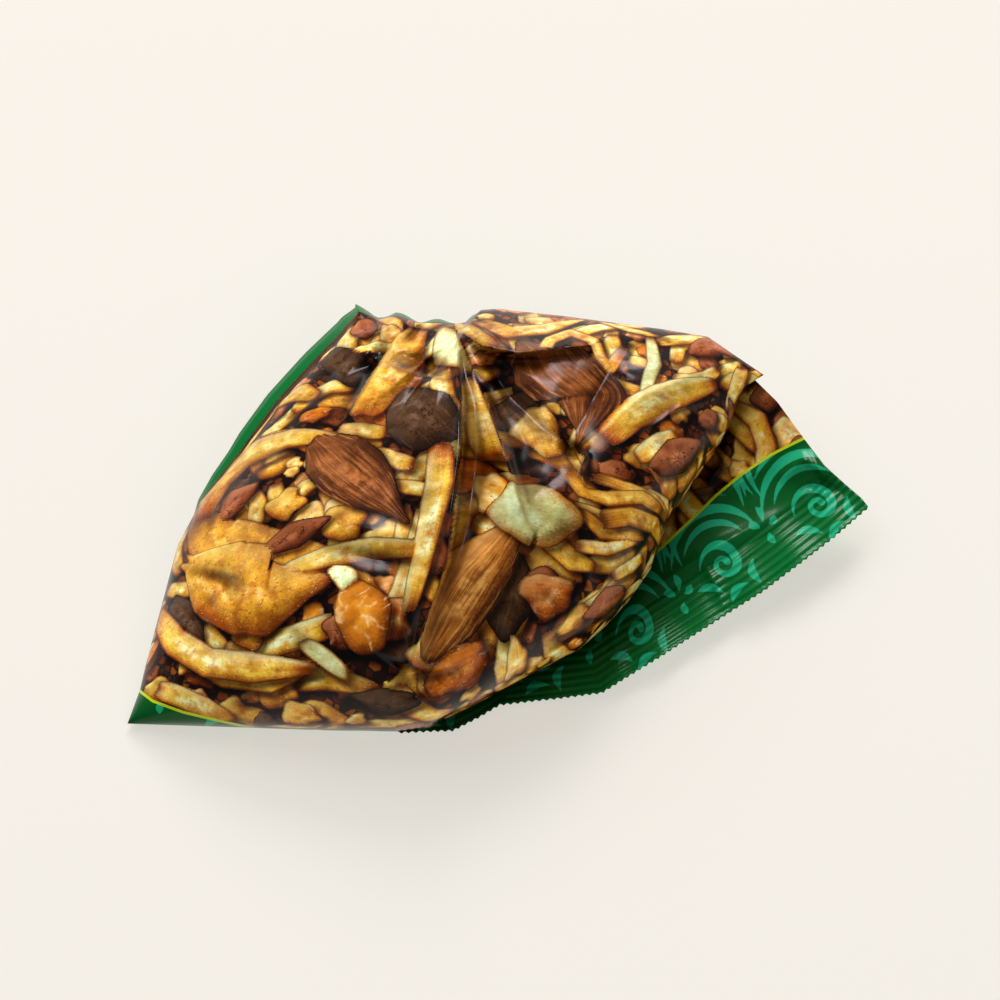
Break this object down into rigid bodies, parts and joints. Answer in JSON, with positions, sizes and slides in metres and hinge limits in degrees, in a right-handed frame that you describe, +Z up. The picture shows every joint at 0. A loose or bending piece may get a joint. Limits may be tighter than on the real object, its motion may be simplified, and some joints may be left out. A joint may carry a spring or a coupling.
{
  "type": "bag of bombay mix",
  "caption": "Plump printed film pouch of bombay mix lying on its back, neck gathered and folded under, flat crimped end seal sticking out at one corner.",
  "frame": {"origin": "centre of the bounding box's bottom face", "axes": "+Z up from the table, +X along the bag from its left corner to the tip of its seal, +Y away from the bottom seal towards the neck"},
  "size_m": [0.1906, 0.1244, 0.0488],
  "materials": {
    "printed_film": "glossy printed film"
  },
  "bodies": {
    "root": {"bag": "printed_film"}
  },
  "joints": []
}
